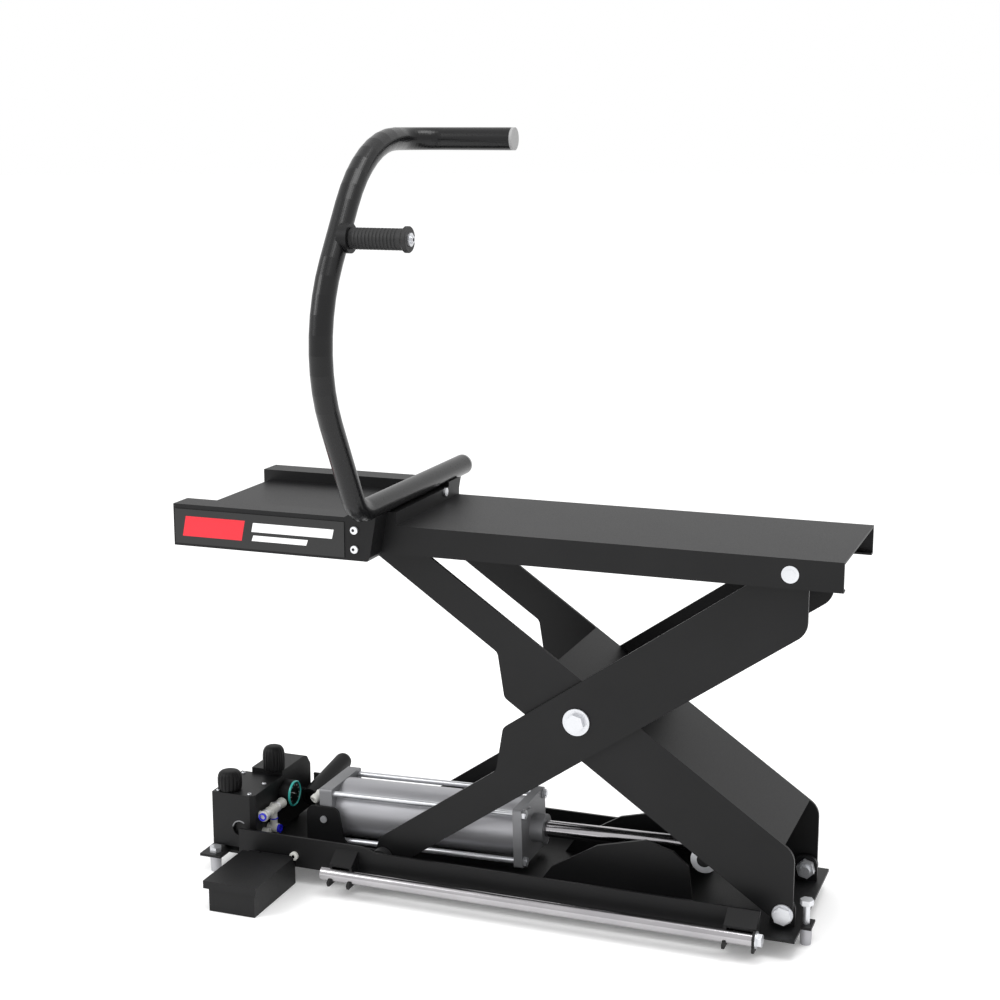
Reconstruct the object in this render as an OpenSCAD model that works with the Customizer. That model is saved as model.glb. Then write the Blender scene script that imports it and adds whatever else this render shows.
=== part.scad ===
// Pneumatic scissor wheel lift: a base with a lying air cylinder, a pair of crossed
// arms, a deck with two side rails for the wheel, and a bent guard tube with a handle.
// Frame: origin at the centre of the base plate's underside, +X along the base away
// from the control box, +Y to the back, +Z up. Drawn with the deck raised.

/* [Base] */
// Length of the base plate between its ends
base_len = 865; // [850:1:1100]
// Width of the base over its side walls
base_w = 266; // [260:1:330]
// Thickness of the base plate and its walls
base_t = 4; // [3:0.5:6]
// Height of the side walls above the underside
wall_h = 41; // [30:1:55]
// Height of the taller wall section at the cylinder end
wall_tall_h = 48; // [42:1:70]
// Gap under the base plate, set by the feet
ground_gap = 27; // [15:1:40]
// Distance of the fixed arm pivot from the base's right end
pivot_inset = 25; // [22:1:80]
// Height of the fixed arm pivot above the base's underside
pivot_z = 24; // [23.5:0.5:32]
// Diameter of the chrome side rod
side_rod_d = 20; // [16:0.5:22]

/* [Scissor] */
// Half the length of an arm, pivot to pivot
arm_half = 394; // [320:1:400]
// Angle of the arms in the raised position
raised_angle = 39.3; // [34:0.1:44]
// Angle of the arms in the lowered position
lowered_angle = 18; // [16:0.1:24]
// Thickness of the arm plates
arm_t = 5; // [4:0.5:7]
// Outer half width of the inner arm
inner_half_w = 95; // [88:0.5:97]
// Depth of an arm in its wide half
arm_wide = 99; // [84:1:104]
// Depth of an arm in its narrow half
arm_narrow = 50; // [42:1:60]
// Slope of the arm's edges against its pivot line
edge_tilt = 4.5; // [3.5:0.1:5.4]
// Gap between inner and outer arm plates
arm_gap = 1; // [0.6:0.1:3]
// Diameter of the pivot bolts and roller axles
pivot_d = 16; // [12:0.5:18]

/* [Deck] */
// Length of the deck
deck_len = 977; // [860:1:1180]
// Width of the deck
deck_w = 246; // [244:1:300]
// Thickness of the deck sheet
deck_t = 3; // [2:0.5:4]
// Depth of the deck's folded flanges
flange_h = 42; // [41:1:60]
// Deck overhang past the right pivots
deck_over = 72; // [50:1:120]
// Length of a wheel rail with its end bracket
rail_len = 330; // [270:1:400]
// Depth of a wheel rail, front to back
rail_d = 42; // [30:1:60]
// Height of a wheel rail
rail_h = 63; // [50:1:90]
// How far the rails stand above the deck
rail_rise = 17; // [10:1:19]

/* [Guard hoop] */
// Outer diameter of the guard tube
tube_d = 32; // [25:0.5:38]
// Height of the handle above the deck
handle_h = 547; // [450:1:680]
// Length of the handle
handle_len = 153; // [100:1:220]
// Reach of the hoop in front of its lower corner
hoop_bulge = 142; // [110:1:180]
// Length of the side grip
grip_len = 88; // [70:1:110]
// Diameter of the side grip
grip_d = 29; // [26:0.5:36]

/* [Cylinder] */
// Side of the square cylinder caps
cap_h = 93; // [84:1:94]
// Width of the cylinder's end caps
cap_wide = 110; // [100:1:112]
// Outer diameter of the barrel
barrel_d = 92; // [76:1:92]
// Diameter of the piston rod
rod_d = 25; // [18:0.5:30]
// Length of the barrel between its caps
barrel_len = 299; // [290:1:305]
// Travel of the piston
stroke = 230; // [190:1:240]
// Diameter of the cam rollers
cam_roller_d = 40; // [32:0.5:42]

/* [Controls] */
// Width of the front control block along the base
box_w = 72; // [60:1:84]
// Depth of the front control block
box_d = 98; // [84:1:110]
// Height of the front control block
box_h = 86; // [70:1:100]
// Diameter of the front regulator knob
knob_d = 38; // [30:0.5:42]
// Height of the front regulator knob
knob_h = 31; // [24:1:40]
// Width of the foot pedal
pedal_w = 87; // [74:1:98]
// Length of the foot pedal lid
pedal_len = 122; // [102:1:146]

/* [Hidden] */
$fn = 48;
run_gap = 0.05;                             // radial play of a shaft in its bore
slip = 0.4;                                 // gap between faces that move past each other
pivot_r = pivot_d / 2;
bush_r = pivot_r + 3;
hinge_r = 7;                                // deck hinge shaft
snap = 1;                                   // thickness of retaining rings
px = base_len / 2 - pivot_inset;            // X of the fixed pivots
arm_x = arm_half * cos(raised_angle);
arm_z = arm_half * sin(raised_angle);
centre = [px - arm_x, pivot_z + arm_z];
low = [px - 2 * arm_x, pivot_z];            // lower roller axis
top = [px - 2 * arm_x, pivot_z + 2 * arm_z]; // upper roller axis
hinge = [px, pivot_z + 2 * arm_z];          // deck hinge
low_x = px - 2 * arm_half * cos(lowered_angle);
slope = raised_angle - edge_tilt;
low_slope = lowered_angle - edge_tilt;
far_u = arm_half * cos(edge_tilt);
far_v = arm_half * sin(edge_tilt);
edge_v = far_v + 22;
wide_v = edge_v - arm_wide;
narrow_v = edge_v - arm_narrow;
rib_v = wide_v + 2;
heel_r = min(-wide_v - far_v, pivot_z - base_t - slip);
end_r = 17.5;
chamfer = (edge_v - far_v - end_r * cos(low_slope)) / sin(low_slope);
outer_in = inner_half_w + arm_gap;
outer_out = outer_in + arm_t;
plate_in = inner_half_w - arm_t;
base_x0 = -base_len / 2;
base_x1 = base_len / 2;
wall_y = base_w / 2;
deck_half = deck_w / 2;
flange_in = deck_half - deck_t;
roller_y0 = outer_out + 2.4;
roller_y1 = flange_in - 2;
track_z = 16;                               // roller axis to its track
roller_r = track_z - 0.3;
deck_z = hinge[1] + 22;                     // deck top
deck_under = deck_z - deck_t;
deck_x1 = px + deck_over;
deck_x0 = deck_x1 - deck_len;
rail_x1 = top[0] + 25;
rail_x0 = rail_x1 - rail_len;
rail_z1 = deck_z + rail_rise;
rail_z0 = rail_z1 - rail_h;
rail_y = deck_half + rail_d;
tube_r = tube_d / 2;
hoop_x = rail_x1 - 5;
hoop_z = deck_z + 20 + tube_r;
handle_z = deck_z + handle_h;
// Cylinder: rear pins, and the crosshead that pushes under the arm's cam ribs
cam_r = cam_roller_d / 2;
tail = [low[0] - 119, 52.5];
cross_x = px - 0.41 * arm_x;
cross_z = centre[1] + (rib_v - (cross_x - centre[0]) * sin(slope) - cam_r - 0.6) / cos(slope);
cyl_tilt = atan2(cross_z - tail[1], cross_x - tail[0]);
reach = norm([cross_x - tail[0], cross_z - tail[1]]);
cap_s = 12;                                 // rear cap's inner face from the pins
front_s = cap_s + barrel_len;
neck_s = front_s + 35;
piston_s = front_s - 6;                      // front face of the piston
tail_r = 5.5;
box_x = base_x0 + 19;                       // control block face towards the cylinder
box_z = base_t + 7;
fit_x = box_x + 9;

steel = [0.16, 0.16, 0.17];
zinc = [0.82, 0.83, 0.85];
alu = [0.66, 0.66, 0.68];
rubber = [0.07, 0.07, 0.07];
bronze = [0.62, 0.48, 0.28];

// ---- helpers ----
// A round bar along Y between two Y values
module bar_y(p, r, y0, y1) translate([p[0], y0, p[1]]) rotate([-90, 0, 0]) cylinder(r = r, h = y1 - y0);
// A ring along Y
module ring_y(p, r0, r1, y0, y1) difference() {
    bar_y(p, r1, y0, y1);
    bar_y(p, r0, y0 - 1, y1 + 1);
}
// A hexagon along Y, width across flats af
module hex_y(p, af, y0, y1) translate([p[0], y0, p[1]]) rotate([-90, 0, 0])
    rotate([0, 0, 15]) cylinder(d = af / cos(30), h = y1 - y0, $fn = 6);
// A round bar along X at a place in Y and Z
module bar_x(y, z, r, x0, x1) translate([x0, y, z]) rotate([0, 90, 0]) cylinder(r = r, h = x1 - x0);
// A box between two corners
module box(a, b) translate(a) cube(b - a);
// The same piece on both sides of the centre plane
module both() {
    children();
    mirror([0, 1, 0]) children();
}
// An outline in X and Z, made solid between two Y values
module slab(points, y0, y1) translate([0, y1, 0]) rotate([90, 0, 0])
    linear_extrude(y1 - y0) polygon(points);
// An outline in Y and Z, made solid between two X values
module slice(points, x0, x1) translate([x0, 0, 0]) rotate([90, 0, 90])
    linear_extrude(x1 - x0) polygon(points);
function arc(c, r, a0, a1, n) = [for (i = [0:n]) let (a = a0 + (a1 - a0) * i / n)
    c + r * [cos(a), sin(a)]];
function unit(v) = v / norm(v);
// Centre, start angle and turn of the rounding of corner b between a and c
function corner(a, b, c, r) = let (
    d0 = unit(a - b), d1 = unit(c - b), half = acos(d0 * d1) / 2,
    m = b + unit(d0 + d1) * r / sin(half),
    p0 = b + d0 * r / tan(half), p1 = b + d1 * r / tan(half),
    a0 = atan2(p0[1] - m[1], p0[0] - m[0]),
    a1 = atan2(p1[1] - m[1], p1[0] - m[0]),
    turn = a1 - a0 > 180 ? a1 - a0 - 360 : a1 - a0 < -180 ? a1 - a0 + 360 : a1 - a0)
    [m, a0, turn, p0, p1];
function fillet(a, b, c, r) = let (k = corner(a, b, c, r)) arc(k[0], r, k[1], k[1] + k[2], 6);
function rounded(p, r) = [for (i = [0:len(p) - 1]) each r[i] == 0 ? [p[i]] :
    fillet(p[(i + len(p) - 1) % len(p)], p[i], p[(i + 1) % len(p)], r[i])];

// ---- arm outline: u runs from the centre pivot to the roller end, v to the straight edge ----
function arm_pt(u, v) = centre + u * [-cos(slope), sin(slope)] + v * [sin(slope), cos(slope)];
function flip(p) = [p[0], 2 * centre[1] - p[1]];
function heel(over) = [px + over, centre[1] + (edge_v - (px + over - centre[0]) * sin(slope)) / cos(slope)];
function arm_outline(over, r, heel_a) = concat(
    [arm_pt(far_u + end_r * sin(low_slope) - chamfer * cos(low_slope), edge_v)],
    fillet(arm_pt(0, edge_v), heel(over), [px + over, pivot_z], r),
    [[px + over, pivot_z + 9]],
    arc([px, pivot_z], heel_r, heel_a, -90 - slope, 6),
    fillet(arm_pt(-200, wide_v), arm_pt(105, wide_v), arm_pt(152, narrow_v), 12),
    fillet(arm_pt(105, wide_v), arm_pt(152, narrow_v), arm_pt(300, narrow_v), 12),
    [arm_pt(far_u - 12, narrow_v)],
    [for (i = [0:7]) let (a = -30 + (120 - low_slope) * i / 7)
        arm_pt(far_u + end_r * cos(a), far_v + end_r * sin(a))]);
inner_points = arm_outline(14, 28, -20);
outer_points = [for (p = arm_outline(22, 28, -20)) flip(p)];

// ---- base ----
module base_plate() color(steel) difference() {
    linear_extrude(base_t) polygon([[base_x0 - 62, -wall_y - 13], [base_x0 - 26, -wall_y - 13],
        [base_x0 - 26, 15 - wall_y], [base_x0, 15 - wall_y], [base_x0, -wall_y], [base_x1, -wall_y],
        [base_x1, -84], [base_x1 + 14, -84], [base_x1 + 14, -52], [base_x1, -52],
        [base_x1, wall_y], [base_x0, wall_y], [base_x0, wall_y - 15], [base_x0 - 26, wall_y - 15],
        [base_x0 - 26, wall_y + 13], [base_x0 - 62, wall_y + 13]]);
    for (p = foot_places) translate([p[0], p[1], -1]) cylinder(r = 6.2, h = base_t + 2);
}
foot_places = [[base_x1 + 4, -68], [base_x0 - 43, 3 - wall_y], [base_x0 - 43, wall_y - 3]];
pad_places = [[px - 60, 100], [base_x0 + 60, 100]];
module base_walls() color(steel) both() slab([[base_x0, base_t], [px - 24, base_t], [px - 24, wall_h],
    [low[0] + 1, wall_h], [low[0] - 22, wall_tall_h], [base_x0, wall_tall_h]], wall_y - base_t, wall_y);
module roller_tracks() color(steel) both()
    box([low_x - 26, outer_out + 1, base_t], [low[0] + 25, flange_in - 0.5, pivot_z - track_z]);
module pivot_lugs() color(steel) both() difference() {
    slab(rounded([[px - 20, base_t], [base_x1 - 9, base_t], [base_x1 - 9, pivot_z + 18], [px - 20, pivot_z + 18]],
        [0, 0, 14, 14]), plate_in - 10, plate_in - 4);
    bar_y([px, pivot_z], pivot_r, plate_in - 11, plate_in - 3);
}
module cylinder_ears() color(steel) both() difference() {
    slab(rounded([[tail[0] - 29, base_t], [tail[0] + 150, base_t], [tail[0] + 150, base_t + 10],
        [tail[0] + 34, base_t + 10], [tail[0] + 24, tail[1] + 20], [tail[0] - 29, tail[1] + 20]],
        [0, 0, 4, 18, 12, 12]), cap_wide / 2 + 2, cap_wide / 2 + 7);
    bar_y(tail, tail_r, cap_wide / 2 + 1, cap_wide / 2 + 8);
}
module cylinder_pins() color(zinc) both() bar_y(tail, tail_r, 38, cap_wide / 2 + 9);
module cam_plates() color(steel) both() slab([[px - 372, base_t], [px - 354, 30], [px - 284, 73],
    [px - 210, 92], [px - 168, 80], [px - 145, 61], [px - 138, base_t]], 58, 63);
rod_y = -wall_y - 23;
rod_z = 8.3;
rod_r = side_rod_d / 2;
hook = [[-wall_y, 38], [rod_y - 1, 22], [rod_y - 2, rod_z], [rod_y - 14, -1], [rod_y - 12, -7],
    [-wall_y, -7]];
module rod_bracket(x0, x1) {
    slice([[-wall_y, 36], [-wall_y, 40], [rod_y - 2, 24.5], [rod_y - 1, 21]], x0, x1);
    for (x = [x0, x1 - 4]) slice(hook, x, x + 4);
}
module rod_brackets() color(steel) difference() {
    union() {
        rod_bracket(low[0] - 64, low[0] - 28);
        rod_bracket(px - 70, px - 24);
        slice([[-wall_y, 36], [rod_y - 1, 22], [rod_y - 12, 14], [rod_y - 12, 0], [rod_y, -7], [-wall_y, -7]],
            px - 28, px - 24);
    }
    bar_x(rod_y, rod_z, rod_r, low[0] - 78, px - 28);
    bar_x(rod_y, rod_z, 5, px - 29, px - 20);
}
module side_rod() color([0.78, 0.77, 0.78]) bar_x(rod_y, rod_z, rod_r, low[0] - 77, px - 28);
module side_rod_bolt() color(zinc) {
    bar_x(rod_y, rod_z, 5, px - 28, px - 22);
    translate([px - 24, rod_y, rod_z]) rotate([0, 90, 0]) cylinder(r = 12, h = 2);
    translate([px - 22, rod_y, rod_z]) rotate([0, 90, 0]) cylinder(r = 9.8, h = 7, $fn = 6);
}
module foot_sleeves() color([0.5, 0.5, 0.52]) {
    for (p = foot_places) translate([p[0], p[1], -ground_gap]) difference() {
        cylinder(r1 = 8, r2 = 9, h = ground_gap);
        translate([0, 0, -1]) cylinder(r = 5, h = ground_gap + 2);
    }
    for (p = pad_places) translate([p[0], p[1], -ground_gap]) cylinder(r = 18, h = ground_gap);
}
module foot_bolts() color(zinc) for (i = [0:2]) translate([foot_places[i][0], foot_places[i][1], 0]) {
    z1 = i == 0 ? base_t + 28 : base_t;
    translate([0, 0, 2 - ground_gap]) cylinder(r = 5, h = z1 + ground_gap - 1);
    translate([0, 0, z1]) cylinder(r = 10, h = 8, $fn = 6);
}
module pivot_bolts() color(zinc) both() {
    bar_y([px, pivot_z], pivot_r, plate_in - 28, inner_half_w + slip + 2);
    bar_y([px, pivot_z], 15, inner_half_w + slip, inner_half_w + 3);
    hex_y([px, pivot_z], 24, inner_half_w + 3, inner_half_w + 9);
    difference() {
        hex_y([px, pivot_z], 24, plate_in - 22, plate_in - 10);
        bar_y([px, pivot_z], pivot_r - 1, plate_in - 23, plate_in - 9);
    }
}

// ---- inner arm ----
module inner_arm() color(steel) difference() {
    union() {
        both() slab(inner_points, plate_in, inner_half_w);
        slab([arm_pt(-334, edge_v - arm_t), arm_pt(75, edge_v - arm_t), arm_pt(75, edge_v),
            arm_pt(-334, edge_v)], -inner_half_w, inner_half_w);
    }
    bar_y([px, pivot_z], bush_r, -inner_half_w - 1, inner_half_w + 1);
    bar_y(centre, pivot_r, -inner_half_w - 1, inner_half_w + 1);
    bar_y(top, pivot_r, -inner_half_w - 1, inner_half_w + 1);
}
module arm_bushes() color(bronze) both()
    ring_y([px, pivot_z], pivot_r + run_gap, bush_r, plate_in - 3, inner_half_w + 0.1);
module cam_ribs() color(steel) both() slab([arm_pt(-285, rib_v), arm_pt(-22, rib_v), arm_pt(-8, -10),
    arm_pt(-8, edge_v - arm_t), arm_pt(-305, edge_v - arm_t), arm_pt(-295, -10)], 41, 47);
module top_axle() color(zinc) {
    bar_y(top, pivot_r, -flange_in + 0.6, flange_in - 0.6);
    both() ring_y(top, pivot_r - 1, 12, inner_half_w, roller_y0 - slip);
    both() ring_y(top, pivot_r - 1, 10.5, flange_in - 1.6, flange_in - 0.6);
}
module centre_bolts() color(zinc) both() {
    bar_y(centre, pivot_r, plate_in - 12, outer_out + 6);
    hex_y(centre, 24, outer_out + 3, outer_out + 11);
}
module centre_nuts() color(zinc) both() {
    ring_y(centre, pivot_r, 20, outer_out + slip, outer_out + 3);
    difference() {
        hex_y(centre, 24, plate_in - 10, plate_in);
        bar_y(centre, pivot_r, plate_in - 11, plate_in + 1);
    }
}

// ---- outer arm ----
module outer_arm_rear() color(steel) difference() {
    slab(outer_points, outer_in, outer_out);
    bar_y(centre, bush_r, outer_in - 1, outer_out + 1);
    bar_y(hinge, bush_r, outer_in - 1, outer_out + 1);
    bar_y(low, pivot_r, outer_in - 1, outer_out + 1);
}
module outer_arm_front() mirror([0, 1, 0]) outer_arm_rear();
module outer_bushes() color(bronze) both() {
    ring_y(centre, pivot_r + run_gap, bush_r, outer_in - 0.3, outer_out + 0.1);
    ring_y(hinge, hinge_r + run_gap, bush_r, outer_in - 3, flange_in - slip);
}
module cross_tube() color(steel) ring_y(flip(arm_pt(-300, 5)), 16, 19, -outer_in, outer_in);
module low_axles() color(zinc) both() {
    bar_y(low, pivot_r, outer_in - 4, flange_in - 0.6);
    ring_y(low, pivot_r - 1, 13, outer_in - 4, outer_in);
    ring_y(low, pivot_r - 1, 12, outer_out, roller_y0 - slip);
    ring_y(low, pivot_r - 1, 10.5, flange_in - 1.6, flange_in - 0.6);
}
module roller(p) ring_y(p, pivot_r + run_gap, roller_r, roller_y0, roller_y1);
module top_roller_rear() color(rubber) roller(top);
module top_roller_front() color(rubber) mirror([0, 1, 0]) roller(top);
module low_roller_rear() color(rubber) roller(low);
module low_roller_front() color(rubber) mirror([0, 1, 0]) roller(low);

// ---- deck ----
module deck() color(steel) difference() {
    union() {
        box([deck_x0, -deck_half, deck_under], [deck_x1, deck_half, deck_z]);
        both() box([deck_x0, flange_in, deck_z - flange_h], [deck_x1, deck_half, deck_z]);
        both() box([deck_x0, flange_in - 10, deck_z - flange_h],
            [deck_x1, deck_half, deck_z - flange_h + deck_t]);
    }
    bar_y(hinge, hinge_r, -deck_half - 1, deck_half + 1);
}
module deck_tracks() color(steel) both() box([low_x - 26, outer_out + 1, top[1] + track_z],
    [top[0] + 25, flange_in, deck_under]);
module deck_shaft() color(zinc) {
    bar_y(hinge, hinge_r, -deck_half - 1.5, deck_half + 1.5);
    both() ring_y(hinge, hinge_r - 1, 12, deck_half, deck_half + 1);
}
// Wheel rail: a folded channel beside the deck and an end bracket that holds the tube
module rail_rear() color(steel) difference() {
    union() {
        difference() {
            box([rail_x0, deck_half, rail_z0], [rail_x1 - 51, rail_y, rail_z1]);
            box([rail_x0 - 1, deck_half + 3, rail_z0 - 1], [rail_x1 - 54, rail_y - 3, rail_z1 - 3]);
        }
        slab([[rail_x1 - 51, rail_z0], [rail_x1 - 16, rail_z0], [rail_x1 - 12, rail_z0 + 6],
            [rail_x1, rail_z1 + 11], [rail_x1 - 34, rail_z1 + 11], [rail_x1 - 51, rail_z1]],
            deck_half, rail_y);
    }
    bar_y([hoop_x, hoop_z], tube_r, deck_half - 1, rail_y + 1);
}
module rail_front() mirror([0, 1, 0]) rail_rear();
module label_panel() color([0.08, 0.08, 0.09])
    box([rail_x0 + 3, -rail_y - 1.2, rail_z0 + 4], [rail_x1 - 51, -rail_y, rail_z1 - 7]);
module rail_screws() color([0.3, 0.3, 0.3]) {
    both() for (z = [rail_z0 + 17, rail_z0 + 45]) bar_y([rail_x1 - 35, z], 5.7, rail_y, rail_y + 3);
    bar_x(64, deck_z + 14.5, 6.5, hoop_x + tube_r + 1, hoop_x + tube_r + 4);
}
module end_beam() color(steel) difference() {
    union() {
        box([hoop_x - tube_r, -deck_half, deck_z], [hoop_x + tube_r + 1, deck_half, hoop_z - tube_r]);
        box([hoop_x - tube_r, 80, deck_z], [hoop_x + tube_r + 1, deck_half, hoop_z - tube_r + 7]);
    }
    bar_y([hoop_x, hoop_z], tube_r, 60, deck_half + 1);
    box([hoop_x - tube_r - 1, -deck_half + 6, deck_z - 1],
        [hoop_x + tube_r - 3, 74, hoop_z - tube_r - 4]);
}
// ---- guard hoop, bent in the plane across the deck ----
hoop = [[178, hoop_z], [-219, hoop_z], [-219 - hoop_bulge, hoop_z + (handle_z - hoop_z) * 0.487],
    [-176, handle_z], [-10, handle_z]];
hoop_r = [50, 200, 200];
bends = [for (i = [1:3]) corner(hoop[i - 1], hoop[i], hoop[i + 1], hoop_r[i - 1])];
module tube_run(a, b, r) translate([hoop_x, a[0], a[1]])
    rotate([atan2(b[1] - a[1], b[0] - a[0]) - 90, 0, 0])
    cylinder(r = r, h = norm(b - a));
module hoop_solid(r) {
    tube_run(hoop[0], bends[0][3], r);
    for (i = [0:2]) {
        k = bends[i];
        translate([hoop_x, k[0][0], k[0][1]]) rotate([90, 0, 90])
            rotate([0, 0, min(k[1], k[1] + k[2])]) rotate_extrude(angle = abs(k[2]))
            translate([hoop_r[i], 0]) circle(r = r);
        tube_run(k[4], i < 2 ? bends[i + 1][3] : [-60, handle_z], r);
    }
    translate([hoop_x + 50, -60, handle_z]) rotate([0, 0, 90])
        rotate_extrude(angle = 90) translate([50, 0]) circle(r = r);
    bar_x(-10, handle_z, r, hoop_x + 50, hoop_x + handle_len);
}
module guard_hoop() color([0.1, 0.1, 0.11]) hoop_solid(tube_r);
module hoop_caps() color([0.55, 0.55, 0.55]) {
    bar_x(-10, handle_z, tube_r, hoop_x + handle_len, hoop_x + handle_len + 4);
    bar_y([hoop_x, hoop_z], tube_r, 178, 182);
}
grip_a = bends[1][4];
grip_b = bends[2][3];
grip_at = grip_a + (grip_b - grip_a) * 0.42;
module grip_saddle() color(steel) difference() {
    union() {
        bar_x(grip_at[0], grip_at[1], 20, hoop_x + 6, hoop_x + tube_r + 4);
        bar_x(grip_at[0], grip_at[1], 8, hoop_x + tube_r + 4, hoop_x + tube_r + grip_len);
    }
    tube_run(grip_at - unit(grip_b - grip_a) * 40, grip_at + unit(grip_b - grip_a) * 40, tube_r);
}
module side_grip() color(rubber) difference() {
    union() {
        bar_x(grip_at[0], grip_at[1], grip_d / 2, hoop_x + tube_r + 4, hoop_x + tube_r + grip_len);
        bar_x(grip_at[0], grip_at[1], grip_d / 2 + 3, hoop_x + tube_r + grip_len - 6,
            hoop_x + tube_r + grip_len);
    }
    bar_x(grip_at[0], grip_at[1], 8, hoop_x, hoop_x + tube_r + grip_len + 1);
}
module grip_screw() color(zinc) {
    x = hoop_x + tube_r + grip_len;
    bar_x(grip_at[0], grip_at[1], 9, x, x + 2);
    bar_x(grip_at[0], grip_at[1], 5, x + 2, x + 5);
}

// ---- cylinder, along its own axis from the rear pins ----
module along() translate([tail[0], 0, tail[1]]) rotate([0, -cyl_tilt, 0]) children();
module square_cap(s0, s1) slice(rounded([[-cap_wide / 2, -cap_h / 2],
    [cap_wide / 2, -cap_h / 2], [cap_wide / 2, cap_h / 2], [-cap_wide / 2, cap_h / 2]], [4, 4, 4, 4]),
    s0, s1);
tie = [cap_wide / 2 - 8, cap_h / 2 - 9];
module tie_bars(r, s0, s1) for (y = [-tie[0], tie[0]], z = [-tie[1], tie[1]]) bar_x(y, z, r, s0, s1);
module cylinder_barrel() color([0.7, 0.7, 0.72]) along() difference() {
    bar_x(0, 0, barrel_d / 2, cap_s, front_s);
    bar_x(0, 0, barrel_d / 2 - 2, cap_s - 1, front_s + 1);
}
module rear_cap() color(alu) along() difference() {
    square_cap(-9, cap_s);
    tie_bars(4.5, -10, cap_s + 1);
    both() bar_y([0, 0], tail_r + run_gap, 37, cap_wide / 2 + 1);
}
module front_cap() color(alu) along() difference() {
    union() {
        square_cap(front_s, front_s + 14);
        bar_x(0, 0, 22, front_s + 14, neck_s);
    }
    tie_bars(4.5, front_s - 1, front_s + 15);
    bar_x(0, 0, rod_d / 2 + run_gap, front_s - 1, neck_s + 1);
}
module tie_rods() color(zinc) along() {
    tie_bars(4.5, -9, front_s + 20);
    for (y = [-tie[0], tie[0]], z = [-tie[1], tie[1]]) translate([front_s + 14, y, z])
        rotate([0, 90, 0]) cylinder(r = 7.8, h = 5, $fn = 6);
}
module piston_rod() color([0.78, 0.77, 0.78]) along() {
    bar_x(0, 0, barrel_d / 2 - 2 - run_gap, piston_s - 24, piston_s);
    bar_x(0, 0, rod_d / 2, piston_s - 20, reach - 22);
}
module crosshead() color(steel) along() {
    difference() {
        box([reach - 22, -34, -18], [reach + 22, 34, 18]);
        bar_y([reach, 0], pivot_r, -35, 35);
    }
    bar_y([reach, 0], pivot_r, -54.5, 54.5);
    both() ring_y([reach, 0], pivot_r - 1, 11, 34, 35.6);
    both() ring_y([reach, 0], pivot_r - 1, 10.5, 52.5, 53.5);
}
module cam_roller_rear() color(zinc) along() ring_y([reach, 0], pivot_r + run_gap, cam_r, 36, 52);
module cam_roller_front() color(zinc) along() ring_y([reach, 0], pivot_r + run_gap, cam_r, -52, -36);

// ---- controls ----
knob_a = [base_x0 - 31, -100];
knob_b = [base_x0 + 3, -17];
module control_box() color(steel) {
    difference() {
        translate([0, 0, box_z]) linear_extrude(box_h) polygon([[box_x - box_w, -20 - box_d],
            [box_x - 7, -20 - box_d], [box_x, -13 - box_d], [box_x, -20], [box_x - box_w, -20]]);
        bar_y([base_x0 - 6, 42], 12, -30 - box_d, -14 - box_d);
        bar_x(-69, 45, 4, box_x - box_w - 1, box_x - box_w + 14);
    }
    slice([[-20, box_z], [80, box_z], [80, box_z + box_h - 12], [68, box_z + box_h + 4],
        [58, box_z + box_h + 8], [-20, box_z + box_h + 8]], box_x - 54, box_x);
    for (x = [box_x - box_w + 10, box_x - 12], y = [-90, 45]) translate([x < box_x - 54 && y > 0 ?
        box_x - 44 : x, y, base_t]) cylinder(r = 6, h = 8);
    translate([knob_a[0], knob_a[1], box_z + box_h - 1]) cylinder(r = 5, h = knob_h - 7);
    translate([knob_b[0], knob_b[1], box_z + box_h + 7]) cylinder(r = 5, h = knob_h);
}
module knob(r, h) difference() {
    union() {
        cylinder(r1 = r, r2 = r - 1, h = h - 4);
        translate([0, 0, h - 4]) cylinder(r1 = r - 1, r2 = r - 4, h = 4);
    }
    translate([0, 0, -1]) cylinder(r = 5 + run_gap, h = h - 4);
}
module knob_front() color(rubber) translate([knob_a[0], knob_a[1], box_z + box_h + slip])
    knob(knob_d / 2, knob_h);
module knob_rear() color(rubber) translate([knob_b[0], knob_b[1], box_z + box_h + 8 + slip])
    knob(knob_d / 2 - 1.2, knob_h + 9);
module gauge() color([0.25, 0.72, 0.69]) {
    bar_x(-14, 68, 21, box_x, box_x + 18);
    bar_x(-14, 68, 18, box_x + 18, box_x + 20);
}
module air_fittings() color([0.8, 0.8, 0.78]) {
    union() {
        bar_y([fit_x, 61], 7.5, -105, -39);
        bar_x(-98, 61, 6, box_x, fit_x);
        bar_x(-60, 61, 6, box_x, fit_x);
        bar_x(-70, 30, 7.5, box_x, fit_x + 8);
        translate([fit_x, -70, 30]) cylinder(r = 6, h = 31);
        bar_x(-88, 30, 6, box_x, fit_x + 2);
    }
}
module fitting_collars() color([0.1, 0.1, 0.85]) difference() {
    bar_x(-70, 30, 6.5, fit_x + 8, fit_x + 12);
    bar_x(-70, 30, 4, fit_x + 7, fit_x + 13);
}
module silencer() color([0.2, 0.2, 0.2]) translate([box_x + 34, 8, 56]) rotate([-81.9, 0, 0])
    difference() {
        union() {
            cylinder(r = 14.5, h = 126);
            translate([0, 0, 126]) cylinder(r1 = 14.5, r2 = 13, h = 5);
            translate([0, 0, 131]) cylinder(r1 = 13, r2 = 7, h = 5);
            
            translate([0, 0, 14]) rotate([0, -90, 0]) cylinder(r = 6, h = 34);
        }
        translate([0, 0, -1]) cylinder(r = 9, h = 9);
    }
pedal_x = base_x0 + 58.5;
pedal_y0 = -wall_y - 17 - pedal_len;
pedal_y1 = -wall_y - 17;
hinge_y = -wall_y - 11;
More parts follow.
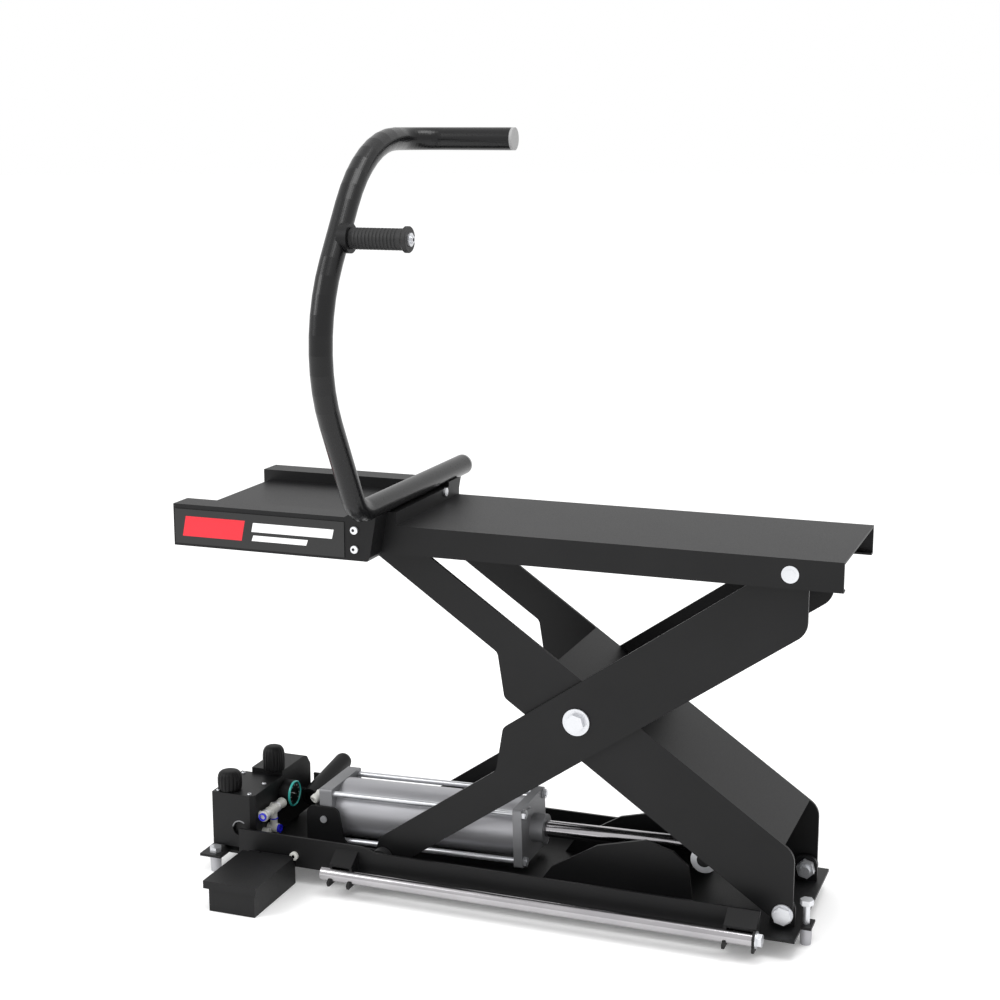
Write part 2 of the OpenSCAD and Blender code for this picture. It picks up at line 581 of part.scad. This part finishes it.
module pedal_body() color(steel) {
    difference() {
        box([pedal_x - pedal_w / 2 + 6, pedal_y0 + 6, -ground_gap], [pedal_x + pedal_w / 2 - 6, -wall_y, 12]);
        box([pedal_x - pedal_w, pedal_y1 - 2, 8], [pedal_x + pedal_w, -wall_y - 3, 13]);
    }
    box([pedal_x - 16, hinge_y - 5, 7], [pedal_x + 16, hinge_y + 5, 19]);
    bar_x(hinge_y, 15, 3, pedal_x - pedal_w / 2 + 8, pedal_x + pedal_w / 2 - 8);
}
module pedal_lid() color(steel) difference() {
    union() {
        box([pedal_x - pedal_w / 2, pedal_y0, 10], [pedal_x + pedal_w / 2, pedal_y1, 22]);
        for (x = [pedal_x - pedal_w / 2 + 9, pedal_x + 17]) {
            bar_x(hinge_y, 15, 6, x, x + pedal_w / 2 - 26);
            box([x, pedal_y1 - 3, 12.4], [x + pedal_w / 2 - 26, hinge_y, 21]);
        }
    }
    box([pedal_x - pedal_w / 2 + 5.4, pedal_y0 + 5, 9], [pedal_x + pedal_w / 2 - 5.4, pedal_y1 + 1, 18]);
    bar_x(hinge_y, 15, 3 + run_gap, pedal_x - pedal_w, pedal_x + pedal_w);
}

base_plate();
base_walls();
roller_tracks();
pivot_lugs();
cylinder_ears();
cylinder_pins();
cam_plates();
rod_brackets();
side_rod();
side_rod_bolt();
foot_sleeves();
foot_bolts();
pivot_bolts();
inner_arm();
arm_bushes();
cam_ribs();
top_axle();
centre_bolts();
centre_nuts();
outer_arm_front();
outer_arm_rear();
outer_bushes();
cross_tube();
low_axles();
top_roller_front();
top_roller_rear();
low_roller_front();
low_roller_rear();
deck();
deck_tracks();
deck_shaft();
rail_front();
rail_rear();
label_panel();
rail_screws();
end_beam();
guard_hoop();
hoop_caps();
grip_saddle();
side_grip();
grip_screw();
cylinder_barrel();
rear_cap();
front_cap();
tie_rods();
piston_rod();
crosshead();
cam_roller_front();
cam_roller_rear();
control_box();
knob_front();
knob_rear();
gauge();
air_fittings();
fitting_collars();
silencer();
pedal_body();
pedal_lid();
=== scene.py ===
"""Pneumatic scissor wheel lift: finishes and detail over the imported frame.

Everything is in metres in the frame of the CAD parts: +X runs along the base away
from the control box, +Y to the back and +Z up.
"""
import math

import bmesh
import bpy
from mathutils import Matrix, Vector


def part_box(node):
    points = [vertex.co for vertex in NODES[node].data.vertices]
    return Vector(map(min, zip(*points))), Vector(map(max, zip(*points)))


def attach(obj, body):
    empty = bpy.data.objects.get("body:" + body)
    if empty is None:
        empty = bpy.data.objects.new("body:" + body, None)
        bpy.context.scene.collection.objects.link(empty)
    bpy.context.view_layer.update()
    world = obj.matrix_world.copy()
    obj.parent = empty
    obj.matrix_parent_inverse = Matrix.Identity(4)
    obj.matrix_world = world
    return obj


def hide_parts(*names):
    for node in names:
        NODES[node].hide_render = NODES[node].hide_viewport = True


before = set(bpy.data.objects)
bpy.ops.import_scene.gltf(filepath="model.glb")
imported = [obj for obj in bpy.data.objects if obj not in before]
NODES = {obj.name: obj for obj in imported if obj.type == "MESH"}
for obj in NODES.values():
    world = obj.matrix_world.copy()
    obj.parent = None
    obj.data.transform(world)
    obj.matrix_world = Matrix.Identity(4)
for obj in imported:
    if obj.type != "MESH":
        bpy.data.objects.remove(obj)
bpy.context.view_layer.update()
MM = 0.001


# ---- materials -------------------------------------------------------------
def linear(code):
    """An sRGB hex colour as linear RGBA."""
    part = [int(code[i:i + 2], 16) / 255 for i in (1, 3, 5)]
    return [c / 12.92 if c <= 0.04045 else ((c + 0.055) / 1.055) ** 2.4 for c in part] + [1]


def add(tree, kind, links=None, **settings):
    """A node with its settings and its links; a link is input name: output socket."""
    node = tree.nodes.new("ShaderNode" + kind)
    for name, value in settings.items():
        if name in node.inputs:
            node.inputs[name].default_value = value
        else:
            setattr(node, name, value)
    for name, socket in (links or {}).items():
        tree.links.new(socket, node.inputs[name])
    return node


def finish(name, low, high, rough, spread, grain_mm, bump, metallic=0.0, stretch=(1, 1, 1), **shader):
    """A finish whose colour runs from low to high and whose roughness spreads about rough,
    both over a grain of a real size, with a slight relief."""
    mat = bpy.data.materials.new(name)
    mat.use_nodes = True
    tree = mat.node_tree
    skin = tree.nodes["Principled BSDF"]
    skin.inputs["Metallic"].default_value = metallic
    for key, value in shader.items():
        skin.inputs[key.replace("_", " ")].default_value = value
    place = add(tree, "TexCoord")
    scale = add(tree, "Mapping", {"Vector": place.outputs["Object"]}, Scale=stretch)
    grain = add(tree, "TexNoise", {"Vector": scale.outputs[0]}, Scale=1 / (grain_mm * MM), Detail=4.0)
    cloud = add(tree, "TexNoise", {"Vector": place.outputs["Object"]}, Scale=9.0, Detail=2.0)
    blend = add(tree, "MapRange", {"Value": cloud.outputs["Fac"]}, **{"From Min": 0.3, "From Max": 0.7})
    colour = add(tree, "Mix", data_type="RGBA")
    for socket in colour.inputs:
        if socket.type == "RGBA":
            socket.default_value = linear(low) if socket.name == "A" else linear(high)
    tree.links.new(blend.outputs[0], colour.inputs["Factor"])
    tint = next(s for s in colour.outputs if s.type == "RGBA")
    tree.links.new(tint, skin.inputs["Base Color"])
    dull = add(tree, "MapRange", {"Value": grain.outputs["Fac"]},
               **{"From Min": 0.3, "From Max": 0.7, "To Min": rough - spread, "To Max": rough + spread})
    tree.links.new(dull.outputs[0], skin.inputs["Roughness"])
    relief = add(tree, "Bump", {"Height": grain.outputs["Fac"]}, Strength=bump, Distance=grain_mm * MM * 0.3)
    tree.links.new(relief.outputs[0], skin.inputs["Normal"])
    return mat


# Powder coat: a satin black film with a fine orange peel and a faint random shift in tone
powder = finish("powder_coated_steel", "#0d0d0e", "#121213", 0.46, 0.05, 1.2, 0.10, Specular_IOR_Level=0.24)
# Laser-cut edges: a pale grey painted highlight, standing in for the light the rounded edge catches; the weld beads
# are coloured with it too
painted_highlight = finish("painted_edge_highlight_grey", "#535355", "#626264", 0.33, 0.05, 1.0, 0.05)
# Stoved gloss black on the guard tube: deep black with sharp highlights
gloss_tube = finish("stoved_black_tube", "#050506", "#08080a", 0.3, 0.04, 2.0, 0.04, Specular_IOR_Level=0.3,
                    Coat_Weight=0.08)
# Bright zinc plate on bolts, pins and nuts: cold white metal, slightly clouded
zinc = finish("bright_zinc_plate", "#dcdde0", "#c4c6ca", 0.34, 0.08, 0.8, 0.08, 0.75)
# Hard chrome on the side rod and piston rod: mirror with faint drawing lines along the bar
chrome = finish("hard_chrome_bar", "#b4b2b4", "#a2a0a3", 0.17, 0.05, 0.6, 0.03, 1.0, (0.05, 1, 1))
# Drawn barrel: anodised aluminium tube, drawn lengthwise
barrel = finish("drawn_anodised_barrel", "#b6b6ba", "#a6a6aa", 0.42, 0.06, 0.7, 0.05, 0.6, (0.04, 1, 1))
# Pressure die-cast and machined caps: duller than the barrel, fine cast grain
casting = finish("die_cast_alloy", "#8f8f92", "#77787a", 0.5, 0.08, 1.1, 0.25, 0.5)
bronze = finish("sintered_bronze", "#9c7a45", "#86683a", 0.5, 0.08, 0.5, 0.1, 0.9)
# Moulded grip rubber and black polyamide: fine spark-eroded grain
rubber = finish("moulded_grip_rubber", "#0c0c0d", "#121213", 0.58, 0.06, 0.8, 0.25)
polyamide = finish("black_polyamide", "#050506", "#080809", 0.5, 0.06, 0.6, 0.12, Specular_IOR_Level=0.2)
roller_nylon = finish("cast_nylon", "#1b1b1c", "#242425", 0.5, 0.06, 0.7, 0.08)
# Push-in fittings: milky grey acetal with a smooth moulded skin
acetal = finish("grey_acetal", "#cfcfca", "#c0c0bb", 0.36, 0.04, 0.9, 0.04)
collar_blue = finish("blue_acetal", "#2222d8", "#1a1ab8", 0.33, 0.04, 0.9, 0.04)
gauge_ring = finish("teal_polycarbonate", "#47c3ba", "#38ada6", 0.25, 0.04, 0.9, 0.02)
plug_grey = finish("grey_polyethylene", "#939393", "#868686", 0.5, 0.05, 0.8, 0.08)
label_black = finish("printed_film_black", "#060607", "#0a0a0b", 0.3, 0.03, 1.5, 0.02)
label_red = finish("printed_film_red", "#e0162a", "#d81024", 0.35, 0.03, 1.5, 0.02)
label_white = finish("printed_film_white", "#f2f2f2", "#ececec", 0.35, 0.03, 1.5, 0.02)

NODE_FINISH = {
    powder: "base_plate base_walls roller_tracks pivot_lugs cylinder_ears cam_plates rod_brackets "
            "inner_arm cam_ribs outer_arm_front outer_arm_rear cross_tube deck deck_tracks rail_front "
            "rail_rear end_beam grip_saddle crosshead control_box pedal_body pedal_lid",
    gloss_tube: "guard_hoop",
    zinc: "cylinder_pins side_rod_bolt foot_bolts pivot_bolts top_axle centre_bolts centre_nuts low_axles "
          "deck_shaft grip_screw tie_rods cam_roller_front cam_roller_rear rail_screws",
    chrome: "side_rod piston_rod",
    barrel: "cylinder_barrel foot_sleeves",
    casting: "rear_cap front_cap",
    bronze: "arm_bushes outer_bushes",
    rubber: "side_grip",
    roller_nylon: "top_roller_front top_roller_rear low_roller_front low_roller_rear",
    polyamide: "knob_front knob_rear silencer",
    acetal: "air_fittings",
    collar_blue: "fitting_collars",
    gauge_ring: "gauge",
    label_black: "label_panel",
    plug_grey: "hoop_caps",
}
# Sheet pieces get a small rounded edge, coloured in the pale grey painted highlight on powder-coated pieces under
# 1.5 mm: edge width in millimetres
EDGE_MM = {"inner_arm": 0.7, "outer_arm_front": 0.7, "outer_arm_rear": 0.7, "deck": 0.8, "rail_front": 1.0,
           "rail_rear": 1.0, "base_walls": 0.7, "base_plate": 0.7, "rod_brackets": 0.6, "cam_plates": 0.7,
           "cylinder_ears": 0.8, "pivot_lugs": 0.7, "cam_ribs": 0.7, "end_beam": 0.8, "control_box": 1.6,
           "pedal_body": 1.6, "pedal_lid": 1.6, "rear_cap": 1.2, "front_cap": 1.2, "centre_bolts": 0.7,
           "centre_nuts": 0.6, "pivot_bolts": 0.7, "top_axle": 0.6, "low_axles": 0.6, "deck_shaft": 0.5,
           "foot_bolts": 0.8, "side_rod_bolt": 0.6, "side_rod": 1.5, "tie_rods": 0.6, "air_fittings": 0.9,
           "foot_sleeves": 0.8, "hoop_caps": 1.2, "cam_roller_front": 0.8, "cam_roller_rear": 0.8,
           "top_roller_front": 1.2, "top_roller_rear": 1.2, "low_roller_front": 1.2, "low_roller_rear": 1.2,
           "silencer": 2.5, "grip_saddle": 0.8, "crosshead": 1.0, "fitting_collars": 0.5, "rail_screws": 0.6,
           "cylinder_pins": 0.8, "cross_tube": 0.6, "piston_rod": 0.5}


def coat(piece, *mats):
    piece.data.materials.clear()
    for mat in mats:
        piece.data.materials.append(mat)


def soften(piece, width_mm, edge_mat=None, segments=2):
    """Rounds the edges of a hard piece, coloured in a material of their own if one is given (the pale grey painted
    highlight).
    """
    bevel = piece.modifiers.new("rounded_edges", "BEVEL")
    bevel.width = width_mm * MM
    bevel.segments = segments
    bevel.limit_method = "ANGLE"
    bevel.angle_limit = math.radians(35)
    bevel.harden_normals = True
    if edge_mat is not None:
        piece.data.materials.append(edge_mat)
        bevel.material = len(piece.data.materials) - 1


for mat, names in NODE_FINISH.items():
    for name in names.split():
        coat(NODES[name], mat)
        # powder-coated pieces with fine edges get the pale grey painted highlight on their rounding
        if name in EDGE_MM:
            soften(NODES[name], EDGE_MM[name], painted_highlight if mat is powder and EDGE_MM[name] < 1.5 else None)


# ---- making pieces ---------------------------------------------------------
def piece(name, mesh, body, *mats, smooth=True, angle=35):
    """A finished mesh as a piece that rides on a body."""
    mesh.validate()
    obj = bpy.data.objects.new(name, mesh)
    bpy.context.scene.collection.objects.link(obj)
    for mat in mats:
        mesh.materials.append(mat)
    if smooth:
        for face in mesh.polygons:
            face.use_smooth = True
        obj.modifiers.new("crisp", "EDGE_SPLIT").split_angle = math.radians(angle)
    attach(obj, body)
    return obj


def solid(name, outline, depth, at, across, up, body, *mats, edge=0.6, segments=2):
    """A plate: an outline in millimetres on the plane of across and up, extruded along
    their cross product, with softened edges."""
    x, y = Vector(across).normalized(), Vector(up).normalized()
    z = x.cross(y)
    bm = bmesh.new()
    at = Vector(at)
    low = [bm.verts.new(at + (x * a + y * b) * MM) for a, b in outline]
    face = bm.faces.new(low)
    grown = bmesh.ops.extrude_face_region(bm, geom=[face])
    raised = [v for v in grown["geom"] if isinstance(v, bmesh.types.BMVert)]
    bmesh.ops.translate(bm, vec=z * depth * MM, verts=raised)
    bmesh.ops.recalc_face_normals(bm, faces=bm.faces)
    if edge:
        sharp = [e for e in bm.edges if len(e.link_faces) == 2 and e.calc_face_angle() > math.radians(20)]
        bmesh.ops.bevel(bm, geom=sharp, offset=edge * MM, segments=segments, profile=0.5, affect="EDGES",
                        clamp_overlap=True, material=len(mats) - 1)
    mesh = bpy.data.meshes.new(name)
    bm.to_mesh(mesh)
    bm.free()
    return piece(name, mesh, body, *mats, angle=28)


def turned(name, profile, at, axis, body, *mats, sides=48, mat_of=None):
    """A turned piece: (radius, height) points in millimetres spun about an axis."""
    axis = Vector(axis).normalized()
    spin = Vector((0, 0, 1)).rotation_difference(axis).to_matrix()
    at = Vector(at)
    bm = bmesh.new()
    rings = []
    for radius, height in profile:
        if radius < 1e-6:
            rings.append([bm.verts.new(at + spin @ Vector((0, 0, height * MM)))])
            continue
        angles = [2 * math.pi * i / sides for i in range(sides)]
        rings.append([bm.verts.new(
            at + spin @ (Vector((math.cos(a) * radius, math.sin(a) * radius, height)) * MM)) for a in angles])
    for k, (one, two) in enumerate(zip(rings, rings[1:])):
        for i in range(sides):
            j = (i + 1) % sides
            corners = [one[i], one[j], two[j], two[i]] if len(one) > 1 and len(two) > 1 else \
                [one[0], two[j], two[i]] if len(one) == 1 else [one[i], one[j], two[0]]
            face = bm.faces.new(corners)
            face.material_index = mat_of[k] if mat_of else 0
    bmesh.ops.recalc_face_normals(bm, faces=bm.faces)
    mesh = bpy.data.meshes.new(name)
    bm.to_mesh(mesh)
    bm.free()
    return piece(name, mesh, body, *mats)


def fluted(name, profile, count, deep, at, body, mat):
    """A knob standing on +Z: (radius, height, flute share) points in millimetres."""
    at = Vector(at)
    bm = bmesh.new()
    rings = []
    sides = count * 8
    for radius, height, share in profile:
        ring = []
        for i in range(sides):
            a = 2 * math.pi * i / sides
            wide = radius - deep * share * (0.5 + 0.5 * math.cos(count * a)) ** 3
            ring.append(bm.verts.new(at + Vector((wide * math.cos(a), wide * math.sin(a), height)) * MM))
        rings.append(ring)
    for one, two in zip(rings, rings[1:]):
        for i in range(sides):
            bm.faces.new([one[i], one[(i + 1) % sides], two[(i + 1) % sides], two[i]])
    bm.faces.new(rings[0][::-1])
    bm.faces.new(rings[-1])
    bmesh.ops.recalc_face_normals(bm, faces=bm.faces)
    mesh = bpy.data.meshes.new(name)
    bm.to_mesh(mesh)
    bm.free()
    return piece(name, mesh, body, mat, angle=50)


def sweep(name, path, radius, body, *mats, sides=40):
    """A round bar bent along a path of points in metres."""
    path = [Vector(p) for p in path]
    tangents = [(path[min(i + 1, len(path) - 1)] - path[max(i - 1, 0)]).normalized() for i in range(len(path))]
    side = tangents[0].orthogonal().normalized()
    bm = bmesh.new()
    rings = []
    for p, t in zip(path, tangents):
        side = (side - t * side.dot(t)).normalized()
        over = t.cross(side)
        rings.append([bm.verts.new(p + (side * math.cos(a) + over * math.sin(a)) * radius)
                      for a in (2 * math.pi * i / sides for i in range(sides))])
    for one, two in zip(rings, rings[1:]):
        for i in range(sides):
            bm.faces.new([one[i], one[(i + 1) % sides], two[(i + 1) % sides], two[i]])
    bm.faces.new(rings[0][::-1])
    bm.faces.new(rings[-1])
    bmesh.ops.recalc_face_normals(bm, faces=bm.faces)
    mesh = bpy.data.meshes.new(name)
    bm.to_mesh(mesh)
    bm.free()
    return piece(name, mesh, body, *mats)


# ---- side grip: a ribbed sleeve with a flange, a washer and its screw ---------
low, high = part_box("side_grip")
axis_y, axis_z = (low.y + high.y) / 2, (low.z + high.z) / 2
grip_r, grip_len = (high.z - low.z) / 2 / MM - 3, (high.x - low.x) / MM
ribs = [(8.1, 0), (grip_r - 1.0, 0), (grip_r, 1.0)]
h = 4.0
while h < grip_len - 14:
    ribs += [(grip_r, h), (grip_r - 0.9, h + 0.7), (grip_r - 0.9, h + 1.9), (grip_r, h + 2.6)]
    h += 5.2
ribs += [(grip_r, grip_len - 9), (grip_r + 3, grip_len - 6), (grip_r + 3, grip_len - 1.2),
         (grip_r + 2, grip_len), (8.1, grip_len), (8.1, 0)]
grip = turned("ribbed_grip", ribs, (low.x, axis_y, axis_z), (1, 0, 0), "table", rubber)
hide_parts("side_grip")
# a flat black hexagon on the screw end: painted shade standing in for its socket
turned("grip_socket_shade", [(0, 0), (2.6, 0), (2.6, 0.15), (0, 0.15)], (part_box("grip_screw")[1].x, axis_y, axis_z),
       (1, 0, 0), "table", polyamide, sides=6)

# ---- gauge: black case, thin teal bezel, dark dial with ticks and a pointer ----
low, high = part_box("gauge")
gy, gz, gr = (low.y + high.y) / 2, (low.z + high.z) / 2, (high.z - low.z) / 2 / MM
deep = (high.x - low.x) / MM
case = turned("gauge_case", [(0, 0), (gr - 0.6, 0), (gr, 0.8), (gr, deep - 4), (gr - 0.5, deep - 3.2),
                             (gr - 0.4, deep - 1.4), (gr - 1.4, deep - 0.3), (gr - 2.6, deep - 0.3),
                             (gr - 3.2, deep - 1.6), (0, deep - 1.6)],
              (low.x, gy, gz), (1, 0, 0), "base", polyamide, gauge_ring, label_black, sides=72,
              mat_of=[0, 0, 0, 0, 1, 1, 1, 1, 2])
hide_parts("gauge")
dial_x = low.x + (deep - 1.6) * MM
for k in range(9):
    a = math.radians(-130 + k * 32.5)
    place = Vector((dial_x, gy + math.sin(a) * 14.2 * MM, gz + math.cos(a) * 14.2 * MM))
    out = Vector((0, math.sin(a), math.cos(a)))
    solid("dial_tick_%d" % k, [(-0.35, -1.3), (0.35, -1.3), (0.35, 1.3), (-0.35, 1.3)], 0.12, place,
          out.cross(Vector((1, 0, 0))), out, "base", label_white, edge=0)
out = Vector((0, math.sin(-1.1), math.cos(-1.1)))
solid("dial_pointer", [(-0.9, -3.5), (0.9, -3.5), (0.3, 11.5), (-0.3, 11.5)], 0.3, (dial_x + 0.0003, gy, gz),
      out.cross(Vector((1, 0, 0))), out, "base", label_white, edge=0)
turned("dial_hub", [(0, 0), (2, 0), (1.7, 1), (0, 1)], (dial_x, gy, gz), (1, 0, 0), "base", polyamide, sides=20)

# ---- knobs: barrel-shaped and fluted, with domed tops ------------------------
for name in ("knob_front", "knob_rear"):
    low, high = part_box(name)
    r, h = (high.x - low.x) / 2 / MM, (high.z - low.z) / MM
    shape = [(r - 2.4, 0, 0), (r - 1.2, 0.8, 0.2), (r - 0.5, h * 0.12, 1), (r, h * 0.38, 1), (r - 0.1, h * 0.62, 1),
             (r - 1.0, h * 0.78, 1), (r - 2.4, h * 0.87, 0.5), (r - 4.6, h * 0.94, 0.1), (r - 8.5, h * 0.985, 0),
             (r - 13, h, 0)]
    foot = ((low.x + high.x) / 2, (low.y + high.y) / 2, low.z)
    cap = fluted(name + "_cap", shape, 18, 1.1, foot, name, polyamide)
    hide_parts(name)
    turned(name + "_collar", [(0, -0.4), (r * 0.62, -0.4), (r * 0.62, 0.0), (0, 0.0)],
           foot, (0, 0, 1), "base", zinc)

# ---- rail label: a plain band of colour and two pale bars -------------------
low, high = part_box("label_panel")
wide, tall = (high.x - low.x) / MM, (high.z - low.z) / MM
for name, x0, x1, z0, z1, lean, mat in (("label_band", 0.045, 0.40, 0.22, 0.80, 6, label_red),
                                        ("label_bar_a", 0.46, 0.93, 0.50, 0.76, 3, label_white),
                                        ("label_bar_b", 0.46, 0.78, 0.24, 0.40, 3, label_white)):
    solid(name, [(x0 * wide, z0 * tall), (x1 * wide, z0 * tall), (x1 * wide + lean, z1 * tall),
                 (x0 * wide + lean, z1 * tall)], 0.15, (low.x, low.y, low.z), (1, 0, 0), (0, 0, 1), "table",
          mat, edge=0)

# ---- air line parts: push-in elbow on the rear cap, ports, segments and rings --
low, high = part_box("rear_cap")
elbow = Vector((low.x + 0.0005, -0.036, high.z - 0.016))
turned("port_boss", [(0, 0), (9, 0), (9, 2.2), (7.8, 3), (0, 3)], elbow, (-1, 0, 0), "cylinder", zinc, sides=6)
turned("elbow_stem", [(0, 3), (6.4, 3), (6.4, 9), (5.4, 13), (0, 13)], elbow, (-1, 0, 0), "cylinder", acetal)
turned("elbow_arm", [(0, -6), (5.4, -6), (6.2, -5), (6.2, 8), (7.2, 8.8), (7.2, 15), (6.4, 16),
                     (4.2, 16), (4.2, 12), (0, 12)],
       elbow + Vector((-0.008, 0, 0)), (-0.35, -0.8, -0.45), "cylinder", acetal)
low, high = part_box("front_cap")
turned("front_port", [(0, 0), (8.6, 0), (8.6, 3), (7.4, 3.8), (4.4, 3.8), (4.4, 1), (0, 1)],
       ((low.x + 0.009), -0.02, high.z - 0.0115), (0, 0, 1), "cylinder", zinc, sides=6)
FITTING_ROW = (-0.4045, 0.061)              # X and Z of the upper row of fittings
row_x, row_z = FITTING_ROW
for k, y in enumerate((-0.1035, -0.096, -0.084, -0.072, -0.060, -0.0415)):
    turned("row_ring_%d" % k, [(7.4, -1.6), (8.3, -1.2), (8.5, 0), (8.3, 1.2), (7.4, 1.6), (7.4, -1.6)],
           (row_x, y, row_z), (0, 1, 0), "base", zinc if k in (1, 4) else acetal, sides=36)
turned("row_end_ring", [(4.2, 0), (6.2, 0), (6.2, 3), (4.2, 3), (4.2, 0)], (row_x, -0.105, row_z), (0, -1, 0),
       "base", collar_blue)
turned("drop_ring", [(6.0, -1), (7.0, -0.6), (7.0, 0.6), (6.0, 1), (6.0, -1)], (row_x, -0.070, 0.046), (0, 0, 1),
       "base", collar_blue, sides=36)
# vent plug with its bore, low on the outside of the front wall beside the pedal; the bore is coloured black as
# painted shade
low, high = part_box("control_box")
turned("vent_plug", [(0, 0), (6.6, 0), (6.6, 4.6), (5.8, 5.4), (2.6, 5.4), (2.6, 1.5), (0, 1.5)],
       (-0.337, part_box("base_walls")[0].y, 0.018), (0, -1, 0), "base", acetal, polyamide, sides=36,
       mat_of=[0, 0, 0, 0, 1, 1])
# painted highlight: a thin bright grey bar round the arched cut-out of the box, standing in for light on its edge
ARCH_X, ARCH_Z, ARCH_R = -0.4385, 0.042, 0.0118
sweep("arch_edge_highlight", [(ARCH_X + ARCH_R * math.cos(math.radians(a)), low.y + 0.0004,
                    ARCH_Z + ARCH_R * math.sin(math.radians(a))) for a in range(50, 176, 6)],
      0.0012, "base", casting, sides=12)
# four lid screws on top of the control box, the socket recess of each coloured black as painted shade
for k, (x, y) in enumerate(((-0.478, -0.111), (-0.424, -0.111), (-0.478, -0.029), (-0.424, -0.062))):
    turned("box_screw_%d" % k, [(0, 0), (3.4, 0), (3.4, 1.1), (2.7, 1.9), (1.5, 1.9), (1.5, 1.0), (0, 1.0)],
           (x, y, 0.097), (0, 0, 1), "base", zinc, polyamide, sides=24, mat_of=[0, 0, 0, 0, 1, 1])

# ---- socket screws on the rail brackets: a flat dark hexagon of painted shade for the socket, in a bright button ------
low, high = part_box("rail_front")
for k, (x, z) in enumerate(((high.x - 0.035, low.z + 0.017), (high.x - 0.035, low.z + 0.045))):
    for side in (-1, 1):
        turned("socket_%d_%s" % (k, "front" if side < 0 else "rear"), [(0, 0), (2.4, 0), (2.4, 0.12), (0, 0.12)],
               (x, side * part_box("rail_screws")[1].y, z), (0, side, 0), "table", polyamide, sides=6)

# ---- weld beads: short fillets where plates meet, coloured in the pale grey painted highlight ---
low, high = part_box("base_walls")
WELD_SPANS = ((-0.41, -0.35), (-0.29, -0.23), (-0.12, -0.06), (0.05, 0.11), (0.23, 0.29), (0.33, 0.375))
WELD_STEPS, WELD_Z, WELD_RIPPLE = 26, 0.0042, 0.00035
for side, tag in ((-1, "front"), (1, "rear")):
    y = side * (high.y - 0.0042)
    for k, (x0, x1) in enumerate(WELD_SPANS):
        bead = [(x0 + (x1 - x0) * i / WELD_STEPS, y, WELD_Z + WELD_RIPPLE * (i % 2)) for i in range(WELD_STEPS + 1)]
        sweep("wall_weld_%s_%d" % (tag, k), bead, 0.0021, "base", painted_highlight, sides=10)

# ---- stage: camera, floor and light ----------------------------------------
low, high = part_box("foot_sleeves")
FLOOR = low.z
camera = bpy.data.objects.new("camera", bpy.data.cameras.new("camera"))
bpy.context.scene.collection.objects.link(camera)
camera.data.lens = 65.0
camera.data.clip_end = 100
turn, tip = math.radians(20.32), math.radians(11.77)
back = Vector((math.sin(turn) * math.cos(tip), -math.cos(turn) * math.cos(tip), math.sin(tip)))
camera.location = Vector((0.857, -2.45355, 1.11287))
camera.rotation_euler = back.to_track_quat("Z", "Y").to_euler()
bpy.context.scene.camera = camera

mesh = bpy.data.meshes.new("floor")
bm = bmesh.new()
bmesh.ops.create_circle(bm, cap_ends=True, segments=64, radius=40, matrix=Matrix.Translation((0, 0, FLOOR)))
bm.to_mesh(mesh)
bm.free()
floor = bpy.data.objects.new("floor", mesh)
bpy.context.scene.collection.objects.link(floor)
coat(floor, finish("pale_floor", "#fdfdfd", "#fbfbfb", 0.9, 0.02, 4.0, 0.0, Specular_IOR_Level=0.0,
                   Emission_Color=(1, 1, 1, 1), Emission_Strength=0.12))

world = bpy.data.worlds.new("studio")
bpy.context.scene.world = world
world.use_nodes = True
world.node_tree.nodes["Background"].inputs["Color"].default_value = (1, 1, 1, 1)
world.node_tree.nodes["Background"].inputs["Strength"].default_value = 1.0
bpy.context.scene.view_settings.view_transform = "Standard"


def softbox(name, place, target, width, height, power):
    light = bpy.data.lights.new(name, "AREA")
    light.shape, light.size, light.size_y, light.energy = "RECTANGLE", width, height, power
    obj = bpy.data.objects.new(name, light)
    bpy.context.scene.collection.objects.link(obj)
    obj.location = place
    obj.rotation_euler = (Vector(place) - Vector(target)).to_track_quat("Z", "Y").to_euler()


softbox("softbox_left", (-2.6, -2.2, 2.6), (0, 0, 0.3), 1.6, 2.2, 60)
softbox("softbox_top", (0.6, -0.4, 3.2), (0, 0, 0.4), 2.0, 1.2, 40)
